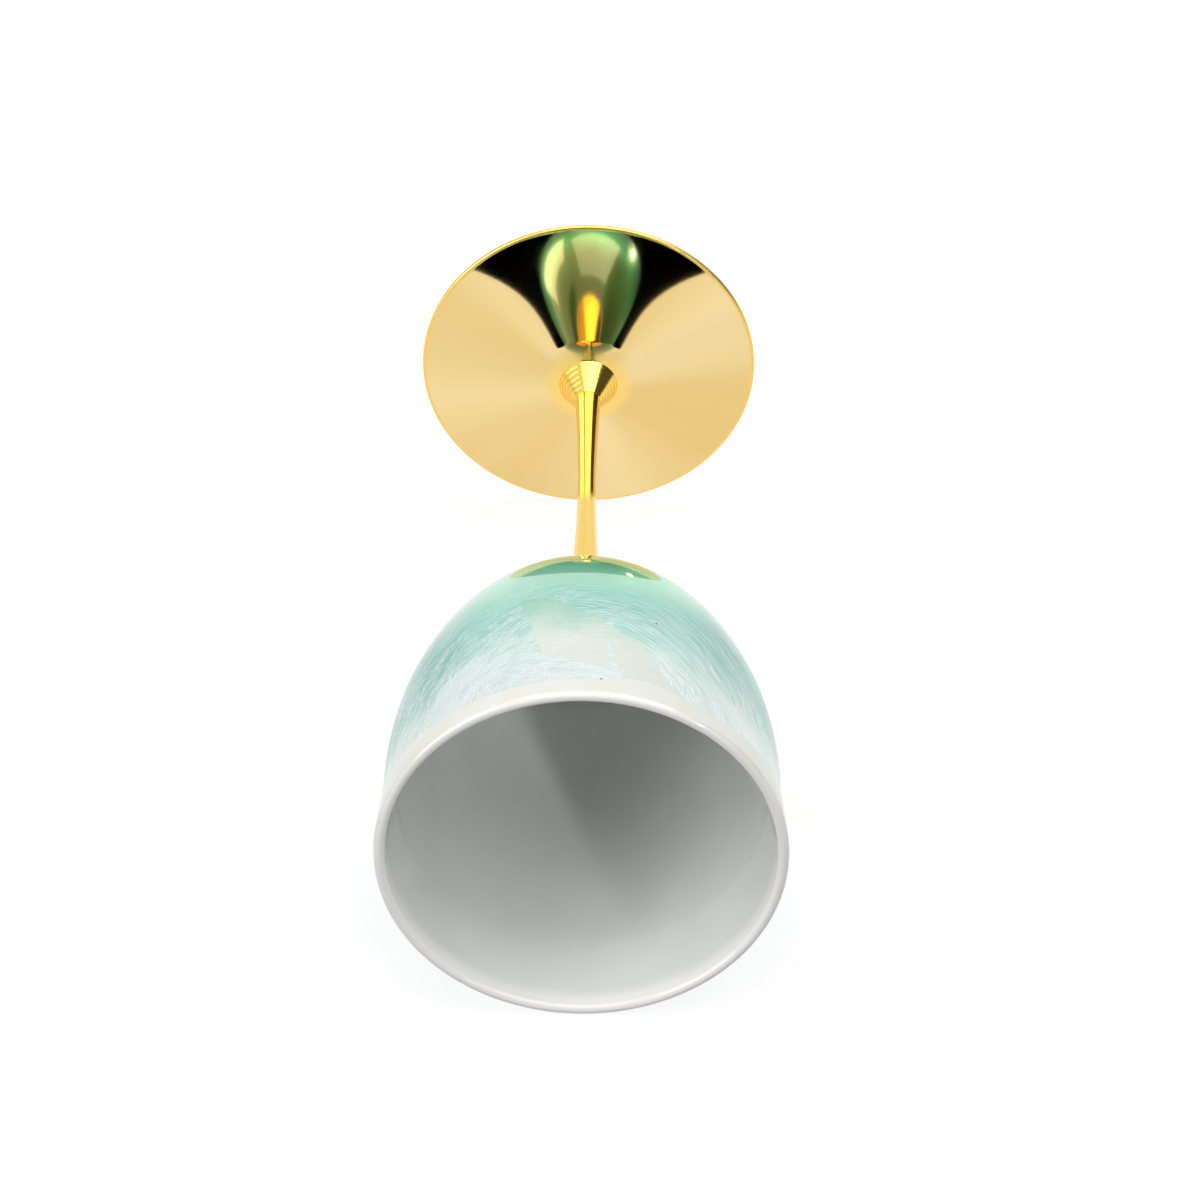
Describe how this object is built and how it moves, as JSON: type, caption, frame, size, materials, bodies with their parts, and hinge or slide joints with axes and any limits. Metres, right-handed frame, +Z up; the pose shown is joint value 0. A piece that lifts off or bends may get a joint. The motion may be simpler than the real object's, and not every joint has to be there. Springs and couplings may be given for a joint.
{
  "type": "stemmed sake cup",
  "caption": "Stemmed sake cup: flared porcelain bowl with green glaze over crinkled silver leaf, on a slim polished gold stem with a ringed collar and a wide shallow conical foot.",
  "frame": {"origin": "middle of the foot's underside, on the surface that the cup stands on", "axes": "+Z up along the cup's axis, towards the lip; the cup is the same all round, so X and Y are free"},
  "size_m": [0.064, 0.064, 0.1352],
  "materials": {
    "glazed_porcelain": "clear green glaze over crinkled silver leaf outside, plain white glaze inside",
    "bond_resin": "cured clear resin, slightly yellow",
    "gold_plate": "mirror polished gold plate",
    "zinc_steel": "zinc plated"
  },
  "bodies": {
    "root": {"bowl": "glazed_porcelain", "bowl_adhesive": "bond_resin", "stem": "gold_plate", "ringed_collar": "gold_plate", "foot": "gold_plate", "foot_washer": "zinc_steel", "foot_lock_washer": "zinc_steel", "foot_nut": "zinc_steel"}
  },
  "joints": []
}
